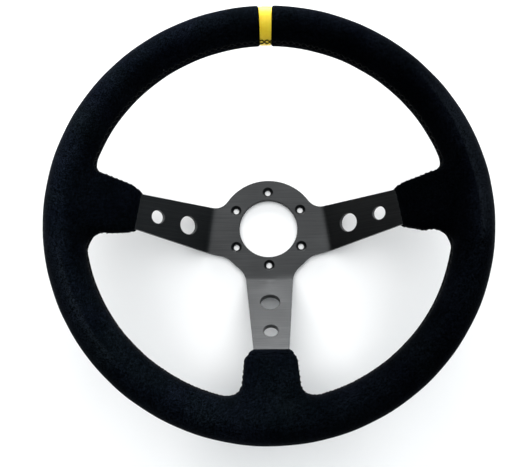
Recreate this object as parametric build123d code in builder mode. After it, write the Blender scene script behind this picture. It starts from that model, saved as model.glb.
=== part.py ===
"""Deep-dish racing steering wheel: a folded three-spoke plate, and a steel hoop in a suede-covered foam grip.

Millimetres. The origin is the centre of the hub's back face, where the wheel bolts to its boss.
+Z runs along the steering axis towards the driver, and +Y points to the marker at the top of the rim.
"""

import os
from collections import namedtuple
from math import copysign, cos, hypot, pi, radians, sin, tan

from build123d import *

# Grip: an oval section swept round the steering axis.
wheel_diameter = 350.0
grip_half_width = 15.0
grip_half_height = 16.5
rim_height = 73.5
grip_radius = wheel_diameter / 2 - grip_half_width
rim_inner_radius = grip_radius - grip_half_width
suede_thickness = 1.0

# Plate: hub and three spokes, cut from one sheet and folded towards the driver.
plate_thickness = 4.0
hub_radius = 46.6
bore_radius = 27.3
bolt_circle_radius = 35.0
bolt_count = 6
first_bolt_angle = 30.0
bolt_hole_radius = 2.75
countersink_radius = 5.0
countersink_angle = 90.0
spoke_root_reach = 20.0
upper_root_fillet = 15.0
lower_root_fillet = 20.0
fold_angle = 40.2
fold_inner_radius = 12.0
plate_end_height = 67.5
plate_end_reach = 150.0
large_hole_radius = 8.35
small_hole_radius = 5.85
hole_chamfer = 0.4

# Hoop: a steel tube, closed on a pin where its two ends meet, with a lug for each spoke.
hoop_radius = 6.0
hoop_wall = 1.5
hoop_gap_angle = 0.15
joint_pin_angle = 12.0
joint_pin_clearance = 0.1
lug_thickness = 3.0
lug_half_width = 15.0
lug_start = 133.0
lug_end = 159.0
rivet_reach = 142.0
rivet_spacing = 16.0
rivet_radius = 2.5
rivet_head_radius = 4.6
rivet_head_height = 2.2
rivet_tail_height = 1.7
rivet_rounding = 0.9

# Boss: the padded end of each spoke, from its nose to the inside of the rim.
nose_reach = 108.0
nose_rounding = 3.5
shoulder_reach = 116.0
boss_end_reach = 156.0
boss_end_half_width = 44.0
nose_cover_front = 5.3
nose_cover_back = 4.8
fold_cover_front = 4.6
crown_reach = 149.0
crown_height = 84.3
boss_back_height = 59.2
profile_elbow = 2.0
flare_turn = 0.94
flare_slope = 2.5
nose_squareness = 5.0
root_squareness = 2.3
section_points = 24
nose_step = 1.05
boss_reaches = [nose_reach, nose_reach + nose_step, nose_reach + nose_rounding, shoulder_reach]
boss_reaches += [122.0, 128.0, 132.0, 135.0, 137.5, 140.0, 143.0, 147.0, 151.0, boss_end_reach]

# Marker band and stitching.
marker_half_angle = 1.9
marker_gap_angle = 0.05
marker_inset = 0.5
marker_thread_half_angle = 1.75
thread_radius = 0.55
thread_gap = 0.08
boss_thread_gap = 0.8
boss_thread_start = 1.0
seam_end_gap = 0.4
side_boss_upper_angle = 9.5
side_boss_lower_angle = 19.5
bottom_boss_angle = 13.5

# Distances are along the spoke from the steering axis. `upper` and `lower` are the half widths at the fold
# and `tip` the half width at the boss's nose. `large` and `small` place the two holes, up the slope from the
# fold. `shift` is how far the spoke's centre line passes from the steering axis, and `up` the sense of
# `upper`. `flares` describes the boss's upper and lower sides: half widths at the nose, at the shoulder and
# where the flare starts, and the flare's radius and its end. The bosses are wrapped by hand, so no two are
# quite alike.
Flare = namedtuple("Flare", "nose shoulder half_width radius reach")
Spoke = namedtuple("Spoke", "name azimuth up fold shift upper lower tip large small flares")
right_flares = (Flare(17.8, 19.1, 20.7, 8.0, 144.2), Flare(16.4, 20.6, 25.0, 14.0, 138.4))
left_flares = (Flare(17.8, 20.8, 22.2, 9.0, 143.4), Flare(16.4, 20.0, 24.2, 11.0, 137.4))
bottom_flares = (Flare(16.4, 20.0, 21.3, 12.0, 142.9), Flare(16.4, 21.1, 22.6, 12.0, 142.4))
right = Spoke("right", 7.9, 1, 52.3, -9.3, 22.4, 20.9, 15.2, 25.1, 55.4, right_flares)
left = right._replace(name="left", azimuth=180 - right.azimuth, up=-1, flares=left_flares)
bottom = Spoke("bottom", -90.0, 1, 46.3, 0.0, 21.9, 21.9, 14.2, 30.8, 62.7, bottom_flares)
spokes = (right, left, bottom)
sector_angles = {"right": (-45.0, 90.0), "left": (90.0, 225.0), "bottom": (225.0, 315.0)}


def at(spoke, along, across):
    """Plan position of a point given along and across a spoke, from the spoke's own centre line."""
    angle = radians(spoke.azimuth)
    side = spoke.up * (across + spoke.shift)
    return Vector(along * cos(angle) - side * sin(angle), along * sin(angle) + side * cos(angle))


def upright_plane(azimuth):
    """Plane through the steering axis at an azimuth: X outward, Y towards the driver."""
    angle = radians(azimuth)
    return Plane(origin=(0, 0, 0), x_dir=(cos(angle), sin(angle), 0), z_dir=(sin(angle), -cos(angle), 0))


def slope_plane(spoke):
    """Plane on the driver's face of a spoke, with its origin on the centre line at the fold."""
    angle = radians(spoke.azimuth)
    slope = radians(fold_angle)
    origin = at(spoke, spoke.fold, 0) + Vector(0, 0, plate_thickness)
    x_dir = (cos(angle) * cos(slope), sin(angle) * cos(slope), sin(slope))
    z_dir = (-cos(angle) * sin(slope), -sin(angle) * sin(slope), cos(slope))
    return Plane(origin=origin, x_dir=x_dir, z_dir=z_dir)


def plate_top(spoke, along):
    """Height of the driver's face of a sloping spoke."""
    return plate_thickness + (along - spoke.fold) * tan(radians(fold_angle))


def rivet_places(spoke):
    """Plan positions of a spoke's two rivets."""
    return [at(spoke, rivet_reach, side * rivet_spacing / 2) for side in (1, -1)]


def level_start(spoke):
    """Where the spoke has climbed to the hoop and folds level again."""
    return spoke.fold + (plate_end_height - plate_thickness) / tan(radians(fold_angle))


def spoke_outline(spoke):
    """Plan outline of a spoke: tapered to the boss's nose, then parallel to its end inside the grip."""
    length = nose_reach - spoke.fold
    upper_start = spoke.upper + (spoke.upper - spoke.tip) * (spoke.fold - spoke_root_reach) / length
    lower_start = spoke.lower + (spoke.lower - spoke.tip) * (spoke.fold - spoke_root_reach) / length
    return [
        at(spoke, spoke_root_reach, upper_start),
        at(spoke, nose_reach, spoke.tip),
        at(spoke, plate_end_reach, spoke.tip),
        at(spoke, plate_end_reach, -spoke.tip),
        at(spoke, nose_reach, -spoke.tip),
        at(spoke, spoke_root_reach, -lower_start),
    ]


# The plate's outline in plan, with its root fillets.
with BuildSketch() as plate_outline:
    Circle(hub_radius)
    for spoke in spokes:
        with BuildLine():
            Polyline(spoke_outline(spoke), close=True)
        make_face()
    roots = [v for v in plate_outline.vertices() if abs(hypot(v.X, v.Y) - hub_radius) < 0.01]
    fillet([v for v in roots if v.Y > 0], radius=upper_root_fillet)
    roots = [v for v in plate_outline.vertices() if abs(hypot(v.X, v.Y) - hub_radius) < 0.01]
    fillet([v for v in roots if v.Y < -hub_radius / 2], radius=lower_root_fillet)


def sector_corners(first, last):
    """Corners of a plan sector about the steering axis, between two azimuths, that reaches past the rim."""
    angles = (first, (first + last) / 2, last)
    return [(0, 0), *[(wheel_diameter * cos(radians(a)), wheel_diameter * sin(radians(a))) for a in angles]]


def folded_sector(spoke):
    """One third of the plate: the outline's sector, cut from a strip folded at both ends of the slope."""
    fold_top = (spoke.fold, plate_thickness)
    level_top = (level_start(spoke), plate_end_height)
    fold_step = plate_thickness * tan(radians(fold_angle / 2))
    plate_end_underside = plate_end_height - plate_thickness
    outer_radius = fold_inner_radius + plate_thickness
    with BuildPart() as sector:
        with BuildSketch():
            add(plate_outline.sketch)
            with BuildLine():
                Polyline(sector_corners(*sector_angles[spoke.name]), close=True)
            make_face(mode=Mode.INTERSECT)
        extrude(amount=rim_height + grip_half_height)
        with BuildSketch(upright_plane(spoke.azimuth)):
            with BuildLine():
                FilletPolyline(
                    (-hub_radius, plate_thickness),
                    fold_top,
                    level_top,
                    (plate_end_reach, plate_end_height),
                    radius=[fold_inner_radius, outer_radius],
                )
                FilletPolyline(
                    (-hub_radius, 0),
                    (fold_top[0] + fold_step, 0),
                    (level_top[0] + fold_step, plate_end_underside),
                    (plate_end_reach, plate_end_underside),
                    radius=[outer_radius, fold_inner_radius],
                )
                Line((-hub_radius, 0), (-hub_radius, plate_thickness))
                Line((plate_end_reach, plate_end_underside), (plate_end_reach, plate_end_height))
            make_face()
        extrude(amount=wheel_diameter / 2, both=True, mode=Mode.INTERSECT)
    return sector.part


sectors = [folded_sector(spoke) for spoke in spokes]

with BuildPart() as spider:
    for sector in sectors:
        add(sector)
    with BuildSketch(Plane.XY):
        Circle(bore_radius)
    extrude(amount=plate_thickness, mode=Mode.SUBTRACT)
    with Locations(Plane.XY.offset(plate_thickness)):
        with PolarLocations(bolt_circle_radius, bolt_count, start_angle=first_bolt_angle):
            CounterSinkHole(bolt_hole_radius, countersink_radius, counter_sink_angle=countersink_angle)
    for spoke in spokes:
        with BuildSketch(slope_plane(spoke)):
            with Locations((spoke.large, 0)):
                Circle(large_hole_radius)
            with Locations((spoke.small, 0)):
                Circle(small_hole_radius)
        extrude(amount=2 * plate_thickness, both=True, mode=Mode.SUBTRACT)
        with BuildSketch(Plane.XY.offset(plate_end_height - 2 * plate_thickness)):
            with Locations(*rivet_places(spoke)):
                Circle(rivet_radius)
        extrude(amount=3 * plate_thickness, mode=Mode.SUBTRACT)
    rims = [edge for edge in spider.edges().filter_by(GeomType.CIRCLE) if edge.is_closed]
    large_rims = [edge for edge in rims if edge.length > 2 * pi * (countersink_radius + hole_chamfer)]
    chamfer(large_rims, length=hole_chamfer)


def boss_half_width(flare, reach):
    """Half width of a boss's side: chamfered at the nose, tapered, then flared on an arc into the rim."""
    if reach < shoulder_reach:
        share = (reach - nose_reach) / (shoulder_reach - nose_reach)
        return flare.nose + (flare.shoulder - flare.nose) * share
    flare_start = flare.reach - flare.radius
    share = min((reach - shoulder_reach) / (flare_start - shoulder_reach), 1)
    straight = flare.shoulder + (flare.half_width - flare.shoulder) * share
    into_flare = max(reach - flare_start, 0)
    on_arc = min(into_flare, flare_turn * flare.radius)
    arc = flare.radius - (flare.radius**2 - on_arc**2) ** 0.5
    past_arc = flare_slope * (into_flare - on_arc)
    return min(straight + arc + past_arc, boss_end_half_width)


def lower_of(first, second):
    """The lower of two heights, rounded over where they cross."""
    return (first + second - hypot(first - second, profile_elbow)) / 2


def boss_front(spoke, reach):
    """Height of the boss's front: it covers the slope of the plate, then eases onto the crown of the rim."""
    nose = plate_top(spoke, nose_reach) + nose_cover_front
    elbow = plate_end_height + fold_cover_front
    elbow_reach = level_start(spoke)
    slope = (elbow - nose) / (elbow_reach - nose_reach)
    crown_slope = (crown_height - elbow) / (crown_reach - elbow_reach)
    return lower_of(nose + slope * (reach - nose_reach), elbow + crown_slope * (reach - elbow_reach))


def boss_back(spoke, reach):
    """Height of the boss's back: it follows the slope of the plate, then runs level into the rim."""
    nose = plate_top(spoke, nose_reach) - plate_thickness / cos(radians(fold_angle)) - nose_cover_back
    return lower_of(nose + (reach - nose_reach) * tan(radians(fold_angle)), boss_back_height)


def boss_section(spoke, reach, inset):
    """Points of a boss's section, across and up: nearly square at the nose, oval where it joins the rim."""
    rounding = max(nose_reach + nose_rounding - reach, 0)
    shrink = inset + nose_rounding - (nose_rounding**2 - rounding**2) ** 0.5
    upper, lower = (boss_half_width(flare, reach) - shrink for flare in spoke.flares)
    front = boss_front(spoke, reach) - shrink
    back = boss_back(spoke, reach) + shrink
    share = (reach - nose_reach) / (boss_end_reach - nose_reach)
    power = 2 / (nose_squareness + (root_squareness - nose_squareness) * share)
    points = []
    for step in range(section_points):
        angle = 2 * pi * (step + 0.5) / section_points
        across = copysign(abs(cos(angle)) ** power, cos(angle)) * (upper if cos(angle) > 0 else lower)
        height = copysign(abs(sin(angle)) ** power, sin(angle)) * (front - back) / 2
        points.append((spoke.up * (across + spoke.shift), (front + back) / 2 + height))
    return points


def boss(spoke, inset):
    """A spoke's padded boss, lofted from its rounded nose to inside the rim; inset shrinks it all round."""
    angle = radians(spoke.azimuth)
    outward = Vector(cos(angle), sin(angle), 0)
    leftward = (-outward.Y, outward.X, 0)
    with BuildPart() as body:
        for reach in boss_reaches:
            step_back = inset if reach < shoulder_reach else 0
            with BuildSketch(Plane(origin=outward * (reach + step_back), x_dir=leftward, z_dir=outward)):
                with BuildLine():
                    Spline(*boss_section(spoke, reach, inset), periodic=True)
                make_face()
        loft()
    return body.part


def grip_ring(half_width, half_height):
    """An oval ring on the grip's centre line."""
    with BuildPart() as ring:
        with BuildSketch(upright_plane(90)):
            with Locations((grip_radius, rim_height)):
                Ellipse(half_width, half_height)
        revolve(axis=Axis.Z)
    return ring.part


def grip_body(inset):
    """The whole grip, ring and bosses, shrunk all round by inset."""
    with BuildPart() as body:
        add(grip_ring(grip_half_width - inset, grip_half_height - inset))
        for spoke in spokes:
            add(boss(spoke, inset))
    return body.part


with BuildPart() as rim_hoop:
    with BuildSketch(upright_plane(90 + hoop_gap_angle / 2)):
        with Locations((grip_radius, rim_height)):
            Circle(hoop_radius)
            Circle(hoop_radius - hoop_wall, mode=Mode.SUBTRACT)
    revolve(axis=Axis.Z, revolution_arc=360 - hoop_gap_angle)

with BuildPart() as hoop_joint_pin:
    with BuildSketch(upright_plane(90 - joint_pin_angle / 2)):
        with Locations((grip_radius, rim_height)):
            Circle(hoop_radius - hoop_wall - joint_pin_clearance)
    revolve(axis=Axis.Z, revolution_arc=joint_pin_angle)

with BuildPart() as hoop_body:
    with BuildSketch(Plane.XZ):
        with Locations((grip_radius, rim_height)):
            Circle(hoop_radius)
    revolve(axis=Axis.Z)


def hoop_lug(spoke):
    """A lug welded to the hoop's flank, flat on the level end of a spoke."""
    with BuildPart() as lug:
        with BuildSketch(Plane.XY.offset(plate_end_height)):
            with BuildLine():
                Polyline(
                    at(spoke, lug_start, lug_half_width),
                    at(spoke, grip_radius, lug_half_width),
                    at(spoke, grip_radius, -lug_half_width),
                    at(spoke, lug_start, -lug_half_width),
                    close=True,
                )
            make_face()
            Circle(lug_end, mode=Mode.INTERSECT)
        extrude(amount=lug_thickness)
        add(hoop_body.part, mode=Mode.SUBTRACT)
        with BuildSketch(Plane.XY.offset(plate_end_height)):
            with Locations(*rivet_places(spoke)):
                Circle(rivet_radius)
        extrude(amount=lug_thickness, mode=Mode.SUBTRACT)
    return lug.part


lugs = {spoke.name: hoop_lug(spoke) for spoke in spokes}

# Two button-headed rivets hold each spoke to its lug.
with BuildPart() as rivet:
    with BuildSketch(Plane.XY.offset(plate_end_height - plate_thickness)):
        Circle(rivet_radius)
    extrude(amount=plate_thickness + lug_thickness)
    with BuildSketch(Plane.XY.offset(plate_end_height + lug_thickness)):
        Circle(rivet_head_radius)
    extrude(amount=rivet_head_height)
    with BuildSketch(Plane.XY.offset(plate_end_height - plate_thickness)):
        Circle(rivet_head_radius)
    extrude(amount=-rivet_tail_height)
    fillet(rivet.edges().sort_by(Axis.Z)[-1], radius=rivet_rounding * rivet_head_height)
    fillet(rivet.edges().sort_by(Axis.Z)[0], radius=rivet_rounding * rivet_tail_height)

with BuildPart() as spoke_rivets:
    with Locations(*[place for spoke in spokes for place in rivet_places(spoke)]):
        add(rivet.part)

with BuildPart() as foam_grip:
    add(grip_body(suede_thickness))
    for piece in (hoop_body.part, spider.part, spoke_rivets.part, *lugs.values()):
        add(piece, mode=Mode.SUBTRACT)

# One strip of suede covers the rim and the bosses, and stops each side of the marker.
with BuildPart() as suede_cover:
    add(grip_body(0))
    add(grip_body(suede_thickness), mode=Mode.SUBTRACT)
    add(spider.part, mode=Mode.SUBTRACT)
    with BuildSketch(Plane.XY):
        with BuildLine():
            Polyline(sector_corners(90 - marker_half_angle, 90 + marker_half_angle), close=True)
        make_face()
    extrude(amount=2 * rim_height, mode=Mode.SUBTRACT)

with BuildPart() as marker_band:
    with BuildSketch(upright_plane(90 - marker_half_angle + marker_gap_angle)):
        with Locations((grip_radius, rim_height)):
            Ellipse(grip_half_width - marker_inset, grip_half_height - marker_inset)
            Ellipse(grip_half_width - suede_thickness, grip_half_height - suede_thickness, mode=Mode.SUBTRACT)
    revolve(axis=Axis.Z, revolution_arc=2 * (marker_half_angle - marker_gap_angle))


def ring_thread(radius, first, last):
    """A run of thread along the inside of the rim, between two azimuths."""
    with BuildPart() as thread:
        with BuildSketch(upright_plane(first)):
            with Locations((radius, rim_height)):
                Circle(thread_radius)
        revolve(axis=Axis.Z, revolution_arc=last - first)
    return thread.part


def boss_thread(spoke, side):
    """A run of thread along a boss's upper (1) or lower (-1) side, from its nose to its flare."""
    flare = spoke.flares[0 if side > 0 else 1]
    ends = []
    for reach in (shoulder_reach + boss_thread_start, flare.reach - flare.radius):
        plan = at(spoke, reach, side * (boss_half_width(flare, reach) + thread_radius + boss_thread_gap))
        height = (boss_front(spoke, reach) + boss_back(spoke, reach)) / 2
        ends.append(Vector(plan.X, plan.Y, height))
    with BuildPart() as thread:
        with BuildSketch(Plane(origin=ends[0], z_dir=ends[1] - ends[0])):
            Circle(thread_radius)
        extrude(amount=(ends[1] - ends[0]).length)
    return thread.part


seam_radius = rim_inner_radius - thread_radius - thread_gap
marker_right = 90 - marker_half_angle - seam_end_gap
marker_left = 90 + marker_half_angle + seam_end_gap
thread_right = 90 - marker_thread_half_angle
thread_left = 90 + marker_thread_half_angle
upper_right = right.azimuth + side_boss_upper_angle
lower_right = right.azimuth - side_boss_lower_angle + 360
bottom_right = 270 + bottom_boss_angle
threads = {
    "rim_seam_upper_right": ring_thread(seam_radius, upper_right, marker_right),
    "rim_seam_upper_left": ring_thread(seam_radius, marker_left, 180 - upper_right),
    "rim_seam_lower_left": ring_thread(seam_radius, 540 - lower_right, 540 - bottom_right),
    "rim_seam_lower_right": ring_thread(seam_radius, bottom_right, lower_right),
    "marker_stitching": ring_thread(seam_radius + marker_inset, thread_right, thread_left),
    "boss_seam_right_upper": boss_thread(right, 1),
    "boss_seam_right_lower": boss_thread(right, -1),
    "boss_seam_left_upper": boss_thread(left, 1),
    "boss_seam_left_lower": boss_thread(left, -1),
    "boss_seam_bottom_right": boss_thread(bottom, 1),
    "boss_seam_bottom_left": boss_thread(bottom, -1),
}

pieces = {
    "spider": spider.part,
    "rim_hoop": rim_hoop.part,
    "hoop_joint_pin": hoop_joint_pin.part,
    **{f"hoop_lug_{name}": lug for name, lug in lugs.items()},
    "spoke_rivets": spoke_rivets.part,
    "foam_grip": foam_grip.part,
    "suede_cover": suede_cover.part,
    "marker_band": marker_band.part,
    **threads,
}
os.makedirs("parts", exist_ok=True)
for name, piece in pieces.items():
    piece.label = name
    export_step(piece, f"parts/{name}.step")
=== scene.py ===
"""Looks of the racing steering wheel: brushed black plate, stitched suede grip, yellow leather marker.

Metres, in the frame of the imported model: the origin is the centre of the hub's back face, +Z runs
towards the driver and +Y points to the marker.
"""

from collections import namedtuple
from math import cos, pi, radians, sin, tan

import bpy
import numpy as np
import openvdb
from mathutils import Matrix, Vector


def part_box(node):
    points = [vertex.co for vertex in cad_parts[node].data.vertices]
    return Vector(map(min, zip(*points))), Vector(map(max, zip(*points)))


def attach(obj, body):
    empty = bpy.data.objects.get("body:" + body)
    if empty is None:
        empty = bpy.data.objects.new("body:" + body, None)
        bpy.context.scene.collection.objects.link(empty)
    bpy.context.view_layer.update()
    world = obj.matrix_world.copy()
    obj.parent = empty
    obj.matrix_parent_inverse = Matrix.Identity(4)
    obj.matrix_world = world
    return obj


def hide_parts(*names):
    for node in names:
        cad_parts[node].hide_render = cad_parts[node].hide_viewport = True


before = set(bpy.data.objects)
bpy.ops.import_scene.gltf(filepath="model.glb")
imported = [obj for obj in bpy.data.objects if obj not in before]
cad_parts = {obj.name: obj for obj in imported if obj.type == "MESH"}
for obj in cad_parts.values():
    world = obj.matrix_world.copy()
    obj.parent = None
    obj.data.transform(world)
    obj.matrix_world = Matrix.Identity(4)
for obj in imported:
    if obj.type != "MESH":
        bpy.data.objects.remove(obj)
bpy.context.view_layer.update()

MM = 0.001
tiny = 1e-12  # keeps a division sound where a length may be nothing

# The grip's ring, from the hoop inside it and the cover round it.
hoop_low, hoop_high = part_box("rim_hoop")
cover_low, cover_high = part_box("suede_cover")
rim_height = (hoop_low[2] + hoop_high[2]) / 2
hoop_radius = (hoop_high[2] - hoop_low[2]) / 2
grip_radius = hoop_high[0] - hoop_radius
grip_half_width = cover_high[0] - grip_radius
grip_half_height = cover_high[2] - rim_height
rim_inner_radius = grip_radius - grip_half_width

# The plate, where it enters the bosses.
plate_thickness = 4 * MM
fold_angle = radians(40.2)
plate_end_height = 67.5 * MM

# The bosses: the CAD model's outline and profile, with the side bosses' flares a little wider. A reach
# is a distance from the steering axis along the spoke.
nose_reach = 108 * MM
shoulder_reach = 116 * MM
boss_end_reach = 156 * MM
boss_end_half_width = 44 * MM
nose_cover_front = 5.3 * MM
nose_cover_back = 4.8 * MM
fold_cover_front = 4.6 * MM
crown_reach = 149 * MM
crown_height = 84.3 * MM
boss_back_height = 59.2 * MM
profile_elbow = 2 * MM
flare_turn = 0.94  # a flare follows its arc over this share of its radius,
flare_slope = 2.5  # then runs on at this slope
plan_corner = 4.5 * MM  # rounding of the outline's corners
nose_corner = 4.4 * MM  # rounding of the edges at the nose,
root_corner = 11.5 * MM  # and where the boss meets the rim
table_lead = 12 * MM  # the boss tables start this far before the nose
table_rows = 400
boss_zone_reach = 95 * MM  # a boss is only worked out past this reach,
boss_zone_half_width = 60 * MM  # and this near its spoke

# One side of a boss: its half width at the nose, at the shoulder and where its flare starts, and the
# flare's radius and reach.
Flare = namedtuple("Flare", "nose shoulder half_width radius reach")
# A spoke: its bearing, 1 or -1 for the way round to the side of its first flare, the reach of the
# plate's fold, its centre line's shift sideways, the plate's half width in the mouth, and its flares.
Spoke = namedtuple("Spoke", "name azimuth up fold shift tip flares")
right_flares = (
    Flare(17.8 * MM, 19.3 * MM, 22 * MM, 8.5 * MM, 146 * MM),
    Flare(16.4 * MM, 20.6 * MM, 25 * MM, 16 * MM, 138.4 * MM),
)
left_flares = (
    Flare(17.8 * MM, 20.8 * MM, 24.8 * MM, 8 * MM, 145 * MM),
    Flare(16.4 * MM, 20 * MM, 24.2 * MM, 11 * MM, 137.4 * MM),
)
bottom_flares = (
    Flare(16.4 * MM, 20 * MM, 21.3 * MM, 12 * MM, 142.9 * MM),
    Flare(16.4 * MM, 21.1 * MM, 22.6 * MM, 12 * MM, 142.4 * MM),
)
right = Spoke("right", radians(7.9), 1, 52.3 * MM, -9.3 * MM, 15.2 * MM, right_flares)
left = right._replace(name="left", azimuth=pi - right.azimuth, up=-1, flares=left_flares)
bottom = Spoke("bottom", -pi / 2, 1, 46.3 * MM, 0, 14.2 * MM, bottom_flares)
spokes = (right, left, bottom)

# Suede: how the hide wraps the foam.
voxel = 0.9 * MM
gradient_step = 0.1 * MM
root_blend = 6 * MM
seam_depth = 0.45 * MM
seam_width = 1.5 * MM
seam_fade = 8 * MM  # the seam's groove fades out over this much of the rim, inside its crown
seam_leave_along = (134 * MM, 148 * MM)  # the seam climbs from a boss to the rim between these reaches,
seam_leave_across = (26 * MM, 52 * MM)  # or between these distances to the side of the spoke
hem_past_nose = 4.2 * MM  # a groove along the hem, this far past the nose
hem_depth = 0.7 * MM
hem_width = 0.75 * MM
mouth_gap = 0.15 * MM
mouth_lap = 2 * MM  # the suede laps over the plate's edges by this much
mouth_depth = 4 * MM
mouth_rounding = 1.5 * MM
unevenness = 0.12 * MM
# Waves of unevenness: radians per metre along x, y and z, and a phase.
waves = ((170, 95, 60, 0), (-120, 205, 0, 1.3), (85, -150, 190, 4))

# Marker: the suede's two rolled ends, and the band between them.
marker_half_width = 5.3 * MM
marker_floor = 1.6 * MM
marker_roll = 2.2 * MM
band_depth = 0.55 * MM
band_crown = 0.2 * MM
band_gap = 0.1 * MM
marker_thread_radius = 0.42 * MM
marker_stitch_pitch = 5 * MM
marker_stitch_width = 2.3 * MM
marker_stitch_shift = 1.2 * MM


# ---- Shape of the grip ---------------------------------------------------------------------------


def smooth_min(a, b, size):
    """The lower of a and b, blended where they differ by less than size."""
    mix = np.maximum(size - abs(a - b), 0) / size
    return np.minimum(a, b) - mix**2 * size / 4


def smooth_max(a, b, size):
    """The higher of a and b, blended where they differ by less than size."""
    return -smooth_min(-a, -b, size)


def round_max(a, b, radius):
    """The higher of two signed distances, with the edge between them rounded."""
    beyond = np.hypot(np.maximum(a + radius, 0), np.maximum(b + radius, 0))
    return beyond + np.minimum(np.maximum(a, b) + radius, 0) - radius


def smooth_step(value, low, high):
    """0 up to low and 1 from high on, eased between."""
    share = np.clip((value - low) / (high - low), 0, 1)
    return share**2 * (3 - 2 * share)


def plate_top(spoke, along):
    """Height of the driver's face of a sloping spoke."""
    return plate_thickness + (along - spoke.fold) * tan(fold_angle)


def boss_half_width(flare, along):
    """Half width of a boss's side: chamfered at the nose, tapered, then flared into the rim."""
    chamfer = np.clip((along - nose_reach) / (shoulder_reach - nose_reach), 0, 1)
    flare_start = flare.reach - flare.radius
    taper = np.clip((along - shoulder_reach) / (flare_start - shoulder_reach), 0, 1)
    straight = flare.nose + (flare.shoulder - flare.nose) * chamfer
    straight = straight + (flare.half_width - flare.shoulder) * taper
    into_flare = np.maximum(along - flare_start, 0)
    on_arc = np.minimum(into_flare, flare_turn * flare.radius)
    arc = flare.radius - np.sqrt(flare.radius**2 - on_arc**2)
    return np.minimum(straight + arc + flare_slope * (into_flare - on_arc), boss_end_half_width)


def lower_of(first, second):
    """The lower of two heights, rounded over where they cross."""
    return (first + second - np.hypot(first - second, profile_elbow)) / 2


def boss_front(spoke, along):
    """Height of the boss's front: it covers the plate's slope, then eases onto the rim's crown."""
    nose = plate_top(spoke, nose_reach) + nose_cover_front
    elbow = plate_end_height + fold_cover_front
    elbow_reach = spoke.fold + (plate_end_height - plate_thickness) / tan(fold_angle)
    slope = (elbow - nose) / (elbow_reach - nose_reach)
    crown_slope = (crown_height - elbow) / (crown_reach - elbow_reach)
    return lower_of(
        nose + slope * (along - nose_reach), elbow + crown_slope * (along - elbow_reach)
    )


def boss_back(spoke, along):
    """Height of the boss's back: it follows the plate's slope, then runs level into the rim."""
    nose = plate_top(spoke, nose_reach) - plate_thickness / cos(fold_angle) - nose_cover_back
    return lower_of(nose + (along - nose_reach) * tan(fold_angle), boss_back_height)


def spoke_frame(spoke, points):
    """Distance along a spoke from the steering axis, and across it from its centre line."""
    along = points[..., 0] * cos(spoke.azimuth) + points[..., 1] * sin(spoke.azimuth)
    side = points[..., 1] * cos(spoke.azimuth) - points[..., 0] * sin(spoke.azimuth)
    return along, spoke.up * side - spoke.shift


def plan_point(spoke, along, across):
    """The plan point at a distance along a spoke and across it."""
    side = spoke.up * (across + spoke.shift)
    x = along * cos(spoke.azimuth) - side * sin(spoke.azimuth)
    return np.array([x, along * sin(spoke.azimuth) + side * cos(spoke.azimuth)])


def steepness(values, along):
    """What a distance measured square to `along` shrinks by where its surface slopes."""
    return 1 / np.hypot(1, np.gradient(values, along))


def boss_tables(spoke):
    """The boss's outline and profile against distance along the spoke, for quick reading."""
    along = np.linspace(nose_reach - table_lead, grip_radius + grip_half_width, table_rows)
    upper, lower = (boss_half_width(flare, along) for flare in spoke.flares)
    front, back = boss_front(spoke, along), boss_back(spoke, along)
    half, middle = (upper + lower) / 2, (front + back) / 2
    into_root = smooth_step(along, nose_reach, crown_reach)
    return {
        "along": along,
        "half": half,
        "centre": (upper - lower) / 2,
        "lean": steepness(half, along),
        "middle": middle,
        "half_height": (front - back) / 2,
        "tilt": steepness(middle, along),
        "corner": nose_corner + (root_corner - nose_corner) * into_root,
    }


tables = {spoke.name: boss_tables(spoke) for spoke in spokes}


def boss_distance(spoke, points):
    """Signed distance, near enough, to a boss: a round-cornered block with its outline and profile."""
    along, across = spoke_frame(spoke, points)
    table = tables[spoke.name]
    read = {key: np.interp(along, table["along"], table[key]) for key in table if key != "along"}
    past_side = (abs(across - read["centre"]) - read["half"]) * read["lean"]
    past_face = (abs(points[..., 2] - read["middle"]) - read["half_height"]) * read["tilt"]
    past_nose = np.maximum(nose_reach - along, along - boss_end_reach)
    outline = round_max(past_side, past_nose, plan_corner)
    hem = hem_depth * np.exp(-(((along - nose_reach - hem_past_nose) / hem_width) ** 2))
    distance = round_max(outline, past_face, read["corner"]) + hem
    plate_middle = plate_top(spoke, along) - plate_thickness / cos(fold_angle) / 2
    off_plate = abs(points[..., 2] - plate_middle) * cos(fold_angle)
    past_mouth = np.maximum(
        off_plate - plate_thickness / 2 - mouth_gap, abs(across) - spoke.tip + mouth_lap
    )
    past_mouth = np.maximum(past_mouth, along - nose_reach - mouth_depth)
    return smooth_max(distance, -past_mouth, mouth_rounding)


def ring_distance(points):
    """Signed distance, near enough, to the ring's oval section."""
    outward = np.hypot(points[..., 0], points[..., 1]) - grip_radius
    upward = points[..., 2] - rim_height
    size = np.hypot(outward / grip_half_width, upward / grip_half_height)
    slope = np.hypot(outward / grip_half_width**2, upward / grip_half_height**2)
    return (size - 1) * size / np.maximum(slope, tiny)


def seam_height(points):
    """Height of the seam: the middle of the rim's inside, and of each boss's sides."""
    height = np.full(points.shape[:-1], rim_height)
    for spoke in spokes:
        along, across = spoke_frame(spoke, points)
        table = tables[spoke.name]
        middle = np.interp(along, table["along"], table["middle"])
        onto_rim = np.maximum(
            smooth_step(along, *seam_leave_along), smooth_step(abs(across), *seam_leave_across)
        )
        onto_rim = np.where(along > 0, onto_rim, 1)
        height = height + (middle - rim_height) * (1 - onto_rim)
    return height


def skin_distance(points):
    """Signed distance, near enough, to the grip's smooth outside, before the marker is let in."""
    distance = ring_distance(points)
    for spoke in spokes:
        along, across = spoke_frame(spoke, points)
        near = (along > boss_zone_reach) & (abs(across) < boss_zone_half_width)
        boss = boss_distance(spoke, points[near])
        distance[near] = smooth_min(distance[near], boss, root_blend)
    return distance


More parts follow.
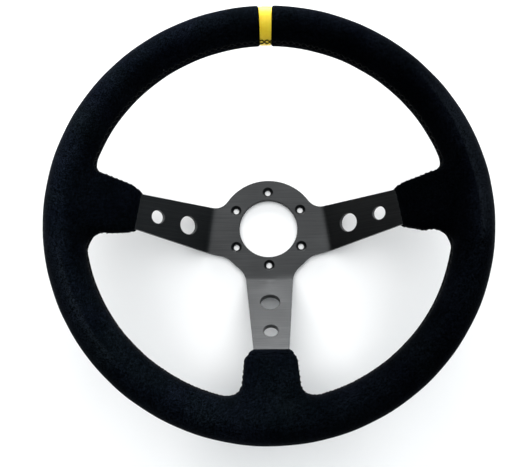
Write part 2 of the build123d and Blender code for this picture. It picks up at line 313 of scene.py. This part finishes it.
def grip_distance(points):
    """Signed distance, near enough, to the suede: the skin, its seam and the marker's groove."""
    x, y, z = (points[..., i] for i in range(3))
    inside = smooth_step(np.hypot(x, y), grip_radius, grip_radius - seam_fade)
    from_seam = z - seam_height(points)
    groove = seam_depth * np.exp(-((from_seam / seam_width) ** 2)) * inside
    wave = sum(np.sin(a * x + b * y + c * z + phase) for a, b, c, phase in waves)
    distance = skin_distance(points) + groove + unevenness * wave / len(waves)
    in_marker = np.where(y > 0, marker_half_width * y / grip_radius - abs(x), -1)
    rolled = smooth_max(distance, in_marker, marker_roll)
    return np.minimum(rolled, distance + marker_floor)


def gradient(points):
    """Direction in which the grip's distance grows fastest."""
    slopes = [
        grip_distance(points + offset) - grip_distance(points - offset)
        for offset in np.eye(3) * gradient_step
    ]
    slopes = np.stack(slopes, axis=-1)
    return slopes / np.maximum(np.linalg.norm(slopes, axis=-1, keepdims=True), tiny)


def onto_surface(points):
    """Points moved onto the grip's surface, in two steps."""
    for _ in range(2):
        points = points - gradient(points) * grip_distance(points)[..., None]
    return points


def surface_mesh(low, high):
    """Points and quads of the grip's surface, inside a box."""
    first = np.floor(low / voxel).astype(int)
    last = np.ceil(high / voxel).astype(int)
    axes = [np.arange(a, b + 1) * voxel for a, b in zip(first, last)]
    values = np.empty([len(axis) for axis in axes], np.float32)
    for i, x in enumerate(axes[0]):
        layer = np.stack(np.meshgrid([x], axes[1], axes[2], indexing="ij"), axis=-1)[0]
        values[i] = grip_distance(layer)
    band = 4 * voxel
    grid = openvdb.FloatGrid(band)
    grid.copyFromArray(np.clip(values, -band, band), ijk=tuple(int(v) for v in first))
    grid.transform = openvdb.createLinearTransform(voxelSize=voxel)
    return grid.convertToQuads()


# ---- Meshes --------------------------------------------------------------------------------------


def add_mesh(name, vertices, faces, material):
    """A new smooth-shaded piece."""
    mesh = bpy.data.meshes.new(name)
    mesh.from_pydata([tuple(v) for v in vertices], [], [tuple(face) for face in faces])
    mesh.validate()
    mesh.shade_smooth()
    mesh.materials.append(material)
    piece = bpy.data.objects.new(name, mesh)
    bpy.context.scene.collection.objects.link(piece)
    return piece


def unit(vectors):
    """Vectors brought to a length of 1."""
    return vectors / np.linalg.norm(vectors, axis=1, keepdims=True)


def tube(path, ups, radius, sides=6):
    """Vertices and faces of a closed round tube along a path; `ups` are about square to it."""
    along = unit(np.gradient(path, axis=0))
    across = unit(np.cross(along, ups))
    up = np.cross(across, along)
    turns = (np.arange(sides) * 2 * pi / sides)[None, :, None]
    rings = path[:, None] + radius * (np.cos(turns) * across[:, None] + np.sin(turns) * up[:, None])
    vertices = np.concatenate([rings.reshape(-1, 3), path[:1], path[-1:]])
    faces = []
    for i in range(len(path) - 1):
        for j in range(sides):
            k = (j + 1) % sides
            faces.append([i * sides + j, i * sides + k, (i + 1) * sides + k, (i + 1) * sides + j])
    first_tip = len(path) * sides
    last_ring = first_tip - sides
    for j in range(sides):
        k = (j + 1) % sides
        faces.append([first_tip, k, j])
        faces.append([first_tip + 1, last_ring + j, last_ring + k])
    return vertices, faces


def join_parts(parts):
    """Several lots of vertices and faces as one."""
    vertices, faces, start = [], [], 0
    for part_vertices, part_faces in parts:
        vertices.append(part_vertices)
        faces += [[start + v for v in face] for face in part_faces]
        start += len(part_vertices)
    return np.concatenate(vertices), faces


# ---- Shader nodes --------------------------------------------------------------------------------


def new_material(name, **values):
    """A material with its principled shader's own values set, its node tree and that shader."""
    material = bpy.data.materials.new(name)
    material.use_nodes = True
    shader = material.node_tree.nodes["Principled BSDF"]
    for key, value in values.items():
        shader.inputs[key.replace("_", " ")].default_value = value
    return material, material.node_tree, shader


def feed(tree, socket, value):
    """Sets an input to a value, or links it to another node's socket."""
    if isinstance(value, bpy.types.NodeSocket):
        tree.links.new(value, socket)
    else:
        socket.default_value = value


def object_place(tree, scale=(1, 1, 1)):
    """Object coordinates, stretched."""
    place = tree.nodes.new("ShaderNodeTexCoord")
    node = tree.nodes.new("ShaderNodeMapping")
    node.inputs["Scale"].default_value = scale
    tree.links.new(place.outputs["Object"], node.inputs["Vector"])
    return node.outputs["Vector"]


def noise(tree, vector, scale, detail, roughness=0.5):
    """Cloudy noise."""
    node = tree.nodes.new("ShaderNodeTexNoise")
    node.inputs["Scale"].default_value = scale
    node.inputs["Detail"].default_value = detail
    node.inputs["Roughness"].default_value = roughness
    tree.links.new(vector, node.inputs["Vector"])
    return node.outputs["Fac"]


def cells(tree, vector, scale):
    """Outputs of scattered cells: a distance from each one's middle, and a colour of its own."""
    node = tree.nodes.new("ShaderNodeTexVoronoi")
    node.inputs["Scale"].default_value = scale
    tree.links.new(vector, node.inputs["Vector"])
    return node.outputs


def ramp(tree, factor, *stops):
    """Colour against a factor: each stop is a position and a colour or a grey."""
    node = tree.nodes.new("ShaderNodeValToRGB")
    elements = node.color_ramp.elements
    while len(elements) < len(stops):
        elements.new(0.5)
    for element, (position, colour) in zip(elements, stops):
        element.position = position
        element.color = (*colour, 1) if isinstance(colour, tuple) else (colour, colour, colour, 1)
    tree.links.new(factor, node.inputs["Fac"])
    return node.outputs["Color"]


def mix(tree, blend, factor, first, second):
    """Two colours mixed; a factor or a colour is a value or a socket."""
    node = tree.nodes.new("ShaderNodeMix")
    node.data_type = "RGBA"
    node.blend_type = blend
    # The colour form's own inputs and output, among those for other kinds of data.
    for index, value in ((0, factor), (6, first), (7, second)):
        feed(tree, node.inputs[index], value)
    return node.outputs[2]


def product(tree, colour, *others):
    """Colours multiplied together."""
    for other in others:
        colour = mix(tree, "MULTIPLY", 1.0, colour, other)
    return colour


def math_node(tree, operation, first, second):
    """A sum, product or the like of two values; each is a number or a socket."""
    node = tree.nodes.new("ShaderNodeMath")
    node.operation = operation
    for socket, value in zip(node.inputs, (first, second)):
        feed(tree, socket, value)
    return node.outputs["Value"]


def vector_node(tree, operation, vector, other=(0, 0, 0)):
    """A vector product, length or distance; `other` is its second vector."""
    node = tree.nodes.new("ShaderNodeVectorMath")
    node.operation = operation
    node.inputs[1].default_value = other
    tree.links.new(vector, node.inputs[0])
    return node.outputs["Vector" if operation == "MULTIPLY" else "Value"]


def axes_of(tree, vector):
    """A vector's X, Y and Z outputs."""
    node = tree.nodes.new("ShaderNodeSeparateXYZ")
    tree.links.new(vector, node.inputs["Vector"])
    return node.outputs


def between(tree, value, start, end, kind="LINEAR"):
    """0 at a start and 1 at an end."""
    node = tree.nodes.new("ShaderNodeMapRange")
    node.interpolation_type = kind
    node.inputs["From Min"].default_value = start
    node.inputs["From Max"].default_value = end
    tree.links.new(value, node.inputs["Value"])
    return node.outputs["Result"]


def eased(tree, value, start, end):
    """0 at a start and 1 at an end, eased between."""
    return between(tree, value, start, end, "SMOOTHSTEP")


def bump(tree, shader, height, strength, distance):
    """Fine relief from a height."""
    node = tree.nodes.new("ShaderNodeBump")
    node.inputs["Strength"].default_value = strength
    node.inputs["Distance"].default_value = distance
    tree.links.new(height, node.inputs["Height"])
    tree.links.new(node.outputs["Normal"], shader.inputs["Normal"])


# ---- Materials -----------------------------------------------------------------------------------

# Painted sheen: lighter streaks on the rim's outer half, at these bearings, over these lengths and this
# strongly.
painted_sheen_places = ((radians(14), 85 * MM, 1), (radians(-152), 60 * MM, 0.6))
painted_sheen_core = 0.35  # full strength out to this share of a place's length
painted_sheen_wander = 5 * MM  # the patches' inner edge wanders by up to this much
painted_sheen_rise = 0.6 * MM  # and starts this far inside the crown
painted_sheen_colour = (0.0036, 0.0046, 0.0054, 1)

# Painted shade: where each change in shade starts and ends, and the shades it goes between.
painted_shade_inside = (grip_radius, rim_inner_radius + 3 * MM)
painted_shade_upper = (-75 * MM, -25 * MM)
painted_shade_inside_levels = (1.0, 0.42)
painted_shade_across = (-90 * MM, 120 * MM)
painted_shade_across_levels = (1.25, 0.52)
painted_shade_foot = (50 * MM, -90 * MM)
painted_shade_foot_levels = (1.0, 0.6)

lint_colour = (0.07, 0.075, 0.08, 1)


def painted_sheen_streaks(tree, place, plan, radius):
    """Painted sheen: lighter streaks, sharp at the crown of the rim, then fading outwards."""
    wander = noise(tree, place, scale=14, detail=2)
    wandered = math_node(tree, "ADD", radius, math_node(tree, "MULTIPLY", wander, painted_sheen_wander))
    out = between(tree, wandered, grip_radius - painted_sheen_rise, grip_radius + grip_half_width)
    band = ramp(tree, out, (0.0, 0.0), (0.12, 1.0), (0.35, 0.5), (1.0, 0.12))
    near = []
    for bearing, reach, strength in painted_sheen_places:
        centre = (grip_radius * cos(bearing), grip_radius * sin(bearing), 0)
        away = vector_node(tree, "DISTANCE", plan, centre)
        patch = eased(tree, away, reach, painted_sheen_core * reach)
        near.append(math_node(tree, "MULTIPLY", patch, strength))
    return math_node(tree, "MULTIPLY", band, math_node(tree, "MAXIMUM", *near))


def shaded(tree, share, shades):
    """A grey that goes from one shade to another."""
    return ramp(tree, share, (0.0, shades[0]), (1.0, shades[1]))


def painted_shade(tree, place, radius):
    """Painted shade: darker inside the upper rim, on one half of the wheel and at its foot."""
    axes = axes_of(tree, place)
    inside = eased(tree, radius, *painted_shade_inside)
    upper = eased(tree, axes["Y"], *painted_shade_upper)
    across = eased(tree, axes["X"], *painted_shade_across)
    foot = eased(tree, axes["Y"], *painted_shade_foot)
    return product(
        tree,
        shaded(tree, math_node(tree, "MULTIPLY", inside, upper), painted_shade_inside_levels),
        shaded(tree, across, painted_shade_across_levels),
        shaded(tree, foot, painted_shade_foot_levels),
    )


def suede_material():
    """Black suede: a dense short nap with a speck of lint here and there, painted sheen streaks at the
    crown of the rim, and painted shade inside the upper rim, on one half of the wheel and at its foot.
    """
    material, tree, shader = new_material(
        "black suede",
        Roughness=1.0,
        Specular_IOR_Level=0.0,
        Sheen_Weight=0.065,
        Sheen_Roughness=0.3,
        Sheen_Tint=(0.72, 0.78, 0.86, 1),
    )
    place = object_place(tree)
    plan = vector_node(tree, "MULTIPLY", place, (1, 1, 0))
    radius = vector_node(tree, "LENGTH", plan)
    patches = noise(tree, place, scale=38, detail=4, roughness=0.62)
    regions = noise(tree, place, scale=17, detail=3, roughness=0.6)
    strokes = noise(tree, place, scale=420, detail=3, roughness=0.6)
    grain = noise(tree, place, scale=1250, detail=2, roughness=0.75)
    fibres = noise(tree, place, scale=2600, detail=2, roughness=0.6)

    cool = ramp(tree, patches, (0.34, (0.0014, 0.0020, 0.0037)), (0.68, (0.0028, 0.0038, 0.0063)))
    warm = ramp(tree, patches, (0.34, (0.0012, 0.0019, 0.0029)), (0.68, (0.0023, 0.0034, 0.0046)))
    base = mix(tree, "MIX", ramp(tree, regions, (0.4, 0.0), (0.6, 1.0)), cool, warm)
    stroked = ramp(tree, strokes, (0.3, 0.6), (0.7, 1.4))
    grained = ramp(tree, grain, (0.41, 0.0), (0.62, 3.1))
    # the last factor is painted shade: darker inside the upper rim, on one half of the wheel and at its
    # foot
    colour = product(tree, base, stroked, grained, painted_shade(tree, place, radius))
    # painted sheen: lighter streaks added at the crown of the rim
    brushed = math_node(tree, "MULTIPLY", painted_sheen_streaks(tree, place, plan, radius), grained)
    colour = mix(tree, "ADD", brushed, colour, painted_sheen_colour)

    lint = cells(tree, place, scale=75)
    speck = ramp(tree, lint["Distance"], (0.0, 1.0), (0.032, 1.0), (0.045, 0.0))
    chosen = ramp(tree, lint["Color"], (0.8, 0.0), (0.86, 1.0))
    colour = mix(tree, "MIX", product(tree, speck, chosen), colour, lint_colour)
    tree.links.new(colour, shader.inputs["Base Color"])
    bump(tree, shader, mix(tree, "ADD", 0.55, grain, fibres), strength=0.6, distance=0.35 * MM)
    return material


def plate_material():
    """Black anodised aluminium, brushed from side to side before it was folded."""
    material, tree, shader = new_material("black anodised plate", Metallic=1.0, Anisotropic=0.45)
    along_streaks = object_place(tree, (14, 1700, 0))
    along_hairlines = object_place(tree, (55, 5200, 0))
    streaks = noise(tree, along_streaks, scale=1, detail=5, roughness=0.66)
    hairlines = noise(tree, along_hairlines, scale=1, detail=2, roughness=0.6)
    clouds = noise(tree, object_place(tree), scale=26, detail=3)
    base = ramp(tree, streaks, (0.3, (0.027, 0.028, 0.029)), (0.7, (0.049, 0.050, 0.051)))
    colour = mix(tree, "MULTIPLY", 0.7, base, ramp(tree, clouds, (0.3, 0.8), (0.7, 1.1)))
    tree.links.new(colour, shader.inputs["Base Color"])
    tree.links.new(ramp(tree, hairlines, (0.3, 0.34), (0.7, 0.5)), shader.inputs["Roughness"])
    bump(tree, shader, mix(tree, "ADD", 0.5, streaks, hairlines), strength=0.16, distance=0.05 * MM)
    return material


def leather_material():
    """Smooth yellow leather, cloudy, with a fine grain."""
    material, tree, shader = new_material(
        "yellow leather", Specular_IOR_Level=0.2, Coat_Weight=0.1, Coat_Roughness=0.3
    )
    place = object_place(tree)
    clouds = noise(tree, place, scale=120, detail=3, roughness=0.6)
    base = ramp(tree, clouds, (0.3, (0.96, 0.63, 0.018)), (0.7, (1.0, 0.76, 0.045)))
    tree.links.new(base, shader.inputs["Base Color"])
    tree.links.new(ramp(tree, clouds, (0.3, 0.36), (0.7, 0.5)), shader.inputs["Roughness"])
    pores = cells(tree, place, scale=1500)
    bump(tree, shader, pores["Distance"], strength=0.25, distance=0.08 * MM)
    return material


def thread_material():
    """Waxed black thread, its fibres catching a little light."""
    material, tree, shader = new_material(
        "black thread",
        Roughness=0.8,
        Specular_IOR_Level=0.08,
        Sheen_Weight=0.02,
        Sheen_Tint=(0.8, 0.85, 0.9, 1),
    )
    twist = noise(tree, object_place(tree), scale=3200, detail=2)
    tree.links.new(ramp(tree, twist, (0.35, 0.0015), (0.65, 0.006)), shader.inputs["Base Color"])
    bump(tree, shader, twist, strength=0.5, distance=0.12 * MM)
    return material


def steel_material():
    """Drawn and welded steel, inside the grip."""
    material, tree, shader = new_material("bare steel", Metallic=1.0)
    clouds = noise(tree, object_place(tree), scale=180, detail=4, roughness=0.6)
    tree.links.new(ramp(tree, clouds, (0.3, 0.32), (0.7, 0.46)), shader.inputs["Base Color"])
    tree.links.new(ramp(tree, clouds, (0.3, 0.3), (0.7, 0.55)), shader.inputs["Roughness"])
    return material


def floor_material():
    """A plain pale floor."""
    material, tree, shader = new_material("pale floor", Roughness=0.9, Specular_IOR_Level=0.2)
    clouds = noise(tree, object_place(tree), scale=5, detail=3)
    tree.links.new(ramp(tree, clouds, (0.3, 0.91), (0.7, 0.95)), shader.inputs["Base Color"])
    return material


def paint(nodes, material):
    """Gives CAD nodes that stay a better material."""
    for name in nodes:
        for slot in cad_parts[name].material_slots:
            slot.material = material


suede = suede_material()
thread = thread_material()
leather = leather_material()
paint(["spider"], plate_material())
steel_nodes = ["rim_hoop", "hoop_joint_pin", "spoke_rivets"]
paint(steel_nodes + [f"hoop_lug_{spoke.name}" for spoke in spokes], steel_material())


# ---- Seams and stitches --------------------------------------------------------------------------

thread_radius = 0.31 * MM
path_step = 0.42 * MM
pitch_scatter = 0.13
width_scatter = 0.22
seam_rays = 500
seam_ray_reaches = np.arange(20 * MM, 190 * MM, 0.5 * MM)

# Cross stitches; heights are in thread radii.
cross_pitch = 5.6 * MM
cross_width = 2.6 * MM
cross_bend = 0.985  # nearer to 1 is straighter between the two sides
cross_height = 0.75
cross_dip = 1.7
cross_sink = 0.2
cross_senses = ((1, 0.45), (-1, -0.1))  # each thread's first side, and its lift over the seam

# Whip stitches, and how they pull the suede in.
whip_pitch = 4.1 * MM
whip_width = 1.7 * MM
whip_height = 0.45 * MM
whip_sink = 0.25
pinch_depth = 0.42 * MM
pinch_width = 1.5 * MM

hand = np.random.default_rng(4)

Line = namedtuple("Line", "points along ups")
Run = namedtuple("Run", "node window kind start end")


def read_path(places, along, points):
    """Points at some places along a path."""
    return np.stack([np.interp(places, along, points[:, i]) for i in range(3)], axis=-1)


def seam_line(centre, start, end):
    """The seam across one window, seen from its centre, between the plan points start and end."""
    bearings = [np.arctan2(*(p - centre)[::-1]) for p in (start, end)]
    turn = (bearings[1] - bearings[0] + pi) % (2 * pi) - pi
    angles = bearings[0] + np.linspace(0, turn, seam_rays)
    rays = np.stack([np.cos(angles), np.sin(angles)], axis=-1)
    places = centre + seam_ray_reaches[None, :, None] * rays[:, None]
    points = np.concatenate([places, np.zeros((*places.shape[:2], 1))], axis=-1)
    points[..., 2] = seam_height(points)
    outside = grip_distance(points)
    rows = np.arange(len(angles))
    hit = np.argmax(outside < 0, axis=1)
    before, after = outside[rows, hit - 1], outside[rows, hit]
    share = (before / (before - after))[:, None]
    line = points[rows, hit - 1] * (1 - share) + points[rows, hit] * share
    lengths = np.concatenate([[0], np.cumsum(np.linalg.norm(np.diff(line, axis=0), axis=1))])
    steps = np.linspace(0, lengths[-1], int(lengths[-1] / path_step))
    line = onto_surface(read_path(steps, lengths, line))
    return Line(line, steps, gradient(line))


def strand(line, sideways, height):
    """A thread beside a seam, from its offsets across the seam and off the suede at each point."""
    across = unit(np.cross(np.gradient(line.points, axis=0), line.ups))
    points = onto_surface(line.points + across * sideways[:, None])
    ups = gradient(points)
    return tube(points + ups * height[:, None], ups, thread_radius)


def uneven(line, pitch, most):
    """Small random differences from stitch to stitch along a seam, since hands sew them."""
    knots = np.arange(int(line.along[-1] / pitch) + 2)
    return np.interp(line.along / pitch, knots, hand.uniform(-most, most, len(knots)))


def cross_stitches(line):
    """Two threads that cross over the seam, and dip into the suede at each side of it."""
    parts = []
    for sense, lift in cross_senses:
        turn = pi * (line.along / cross_pitch + uneven(line, cross_pitch, pitch_scatter))
        swing = np.arcsin(cross_bend * np.sin(turn)) / np.arcsin(cross_bend)
        dip = cross_dip * abs(swing) ** 5
        height = thread_radius * (cross_height + lift * (1 - abs(swing)) - dip - cross_sink)
        reach = sense * cross_width * (1 + uneven(line, cross_pitch, width_scatter))
        parts.append(strand(line, reach * swing, height))
    return parts


def whip_stitches(line):
    """One thread that winds over the seam and back under the suede."""
    turn = 2 * pi * line.along / whip_pitch
    return [strand(line, whip_width * np.sin(turn), whip_height * (np.cos(turn) - whip_sink))]


def pinch_points(line):
    """Where the whip stitches pull the suede in."""
    return read_path(np.arange(0, line.along[-1], whip_pitch), line.along, line.points)


window_centres = {
    "upper": np.array([0, 80]) * MM,
    "lower_left": np.array([-72, -62]) * MM,
    "lower_right": np.array([72, -62]) * MM,
}
stitch_start = shoulder_reach - 2 * MM
stitch_past_flare = 0.5 * MM  # a boss's side stitches end this far past its flare's reach
seam_past_roll = 0.4 * MM  # the rim's seam ends this far past the suede's rolled end


def side_ends(spoke, side):
    """Plan points where a boss's side stitches start, and where they meet the rim's."""
    flare = spoke.flares[0 if side > 0 else 1]
    reaches = (stitch_start, flare.reach + stitch_past_flare)
    return [plan_point(spoke, along, side * boss_half_width(flare, along)) for along in reaches]


runs = []
ends = {}
for boss_side, window, spoke, side in (
    ("right_upper", "upper", right, 1),
    ("right_lower", "lower_right", right, -1),
    ("left_upper", "upper", left, 1),
    ("left_lower", "lower_left", left, -1),
    ("bottom_right", "lower_right", bottom, 1),
    ("bottom_left", "lower_left", bottom, -1),
):
    start, ends[boss_side] = side_ends(spoke, side)
    runs.append(Run(f"boss_seam_{boss_side}", window, "whip", start, ends[boss_side]))
top = np.array([0, rim_inner_radius])
marker_side = np.array([marker_half_width * rim_inner_radius / grip_radius - seam_past_roll, 0])
for arc, window, start, end in (
    ("upper_right", "upper", ends["right_upper"], top + marker_side),
    ("upper_left", "upper", top - marker_side, ends["left_upper"]),
    ("lower_left", "lower_left", ends["left_lower"], ends["bottom_left"]),
    ("lower_right", "lower_right", ends["bottom_right"], ends["right_lower"]),
):
    runs.append(Run(f"rim_seam_{arc}", window, "cross", start, end))

pinches = []
for run in runs:
    line = seam_line(window_centres[run.window], run.start, run.end)
    if run.kind == "whip":
        stitches = whip_stitches(line)
        pinches.append(pinch_points(line))
    else:
        stitches = cross_stitches(line)
    piece = add_mesh(run.node.replace("_seam_", "_stitches_"), *join_parts(stitches), thread)
    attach(piece, "root")
    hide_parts(run.node)
pinches = np.concatenate(pinches)


# ---- Suede ---------------------------------------------------------------------------------------

suede_margin = 4 * MM
pinch_reach = 4 * pinch_width


def pinched(points):
    """Suede points, pulled in where the stitches hold it."""
    chosen = np.flatnonzero(np.hypot(points[:, 0], points[:, 1]) < grip_radius)
    pull = np.zeros(len(points))
    for place in pinches:
        near = chosen[np.abs(points[chosen] - place).max(axis=1) < pinch_reach]
        away = np.linalg.norm(points[near] - place, axis=1) / pinch_width
        pull[near] = np.maximum(pull[near], np.exp(-(away**2)))
    return points - gradient(points) * (pull * pinch_depth)[:, None]


def suede_grip():
    """The suede over the whole grip, from one rolled end at the marker round to the other."""
    low = np.array(cover_low) - suede_margin
    high = np.array(cover_high) + suede_margin
    points, quads = surface_mesh(low, high)
    points = pinched(onto_surface(np.array(points, float)))
    piece = add_mesh("suede_grip", points, quads, suede)
    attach(piece, "root")
    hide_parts("suede_cover", "foam_grip")


# ---- Marker --------------------------------------------------------------------------------------

band_turns = 128
band_steps = 14
marker_path_points = 60
marker_thread_height = 0.6  # in thread radii, as are the lifts
marker_senses = ((1, 0.5), (-1, 0.0))  # each thread's first side, and its lift where they cross


def section_point(angle, x, depth):
    """A point of the ring at the marker: round the section from outside, off to a side, sunk in."""
    outward = grip_radius + (grip_half_width - depth) * cos(angle)
    upward = (grip_half_height - depth) * sin(angle)
    turn = x / grip_radius
    return (outward * sin(turn), outward * cos(turn), rim_height + upward)


def marker_band():
    """The marker: a crowned band of yellow leather let in between the suede's rolled ends."""
    half = marker_half_width - band_gap
    profile = []
    for i in range(band_steps + 1):
        share = 2 * i / band_steps - 1
        profile.append((half * share, band_depth + band_crown * share**4))
    profile += [(half, marker_floor), (-half, marker_floor)]
    vertices = []
    for i in range(band_turns):
        angle = 2 * pi * i / band_turns
        vertices += [section_point(angle, x, depth) for x, depth in profile]
    count = len(profile)
    faces = []
    for i in range(band_turns):
        for j in range(count):
            k, n = (j + 1) % count, (i + 1) % band_turns
            faces.append([i * count + j, i * count + k, n * count + k, n * count + j])
    piece = add_mesh("marker_band_leather", vertices, faces, leather)
    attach(piece, "root")
    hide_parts("marker_band")


def marker_stitches():
    """The marker's closing stitches: two threads that cross over its join, inside the rim."""
    along = np.linspace(-marker_half_width, marker_half_width, marker_path_points)
    points = np.array([section_point(pi, x, band_depth) for x in along])
    ups = unit(points * [-1, -1, 0])
    parts = []
    for sense, lift in marker_senses:
        turn = pi * (along + marker_stitch_shift) / marker_stitch_pitch
        height = marker_thread_radius * (marker_thread_height + lift * abs(np.cos(turn)))
        path = points + ups * height[:, None]
        path[:, 2] += sense * marker_stitch_width * np.sin(turn)
        parts.append(tube(path, ups, marker_thread_radius))
    piece = add_mesh("marker_stitches", *join_parts(parts), thread)
    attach(piece, "root")
    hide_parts("marker_stitching")


suede_grip()
marker_band()
marker_stitches()


# ---- Camera, light and floor ---------------------------------------------------------------------

floor_half_width = 3.0
world_strength = 0.27


def camera():
    """A short lens above the foot of the wheel, fitted to the photo's outlines and holes."""
    data = bpy.data.cameras.new("camera")
    data.lens = 30.11
    data.sensor_width = 36
    data.shift_x = -0.0068
    data.shift_y = 0.028
    eye = bpy.data.objects.new("camera", data)
    eye.location = (-3.54 * MM, -91.97 * MM, 407.92 * MM)
    eye.rotation_euler = (radians(10.24), 0, radians(-1.06))
    bpy.context.scene.collection.objects.link(eye)
    bpy.context.scene.camera = eye


def softbox(name, place, target, width, height, power):
    """A rectangular soft light that faces a point."""
    data = bpy.data.lights.new(name, "AREA")
    data.shape = "RECTANGLE"
    data.size = width
    data.size_y = height
    data.energy = power
    light = bpy.data.objects.new(name, data)
    light.location = place
    light.rotation_euler = (Vector(target) - Vector(place)).to_track_quat("-Z", "Y").to_euler()
    bpy.context.scene.collection.objects.link(light)


def studio():
    """A low window beyond the marker, a soft light overhead and a faint fill, in a dim room."""
    softbox("window", (0, 1.9, 0.42), target=(0, 0, 0.42), width=2.6, height=0.8, power=88)
    softbox("overhead", (-0.1, 0.8, 1.6), target=(0, 0, 0), width=3.2, height=3.2, power=67)
    softbox("fill", (0, -1.5, 1.2), target=(0, 0, 0), width=1.6, height=1.0, power=2)
    world = bpy.data.worlds.new("room")
    world.use_nodes = True
    tree = world.node_tree
    sky = tree.nodes.new("ShaderNodeTexCoord")
    across = between(tree, axes_of(tree, sky.outputs["Generated"])["X"], -1, 1)
    room = ramp(tree, across, (0.0, (0.03, 0.05, 0.06)), (1.0, (0.84, 1.02, 1.12)))
    tree.links.new(room, tree.nodes["Background"].inputs["Color"])
    tree.nodes["Background"].inputs["Strength"].default_value = world_strength
    bpy.context.scene.world = world


def floor():
    """A wide floor under the wheel."""
    half = floor_half_width
    corners = [(-half, -half, 0), (half, -half, 0), (half, half, 0), (-half, half, 0)]
    add_mesh("floor", corners, [(0, 1, 2, 3)], floor_material())


camera()
studio()
floor()
bpy.context.scene.view_settings.view_transform = "Standard"
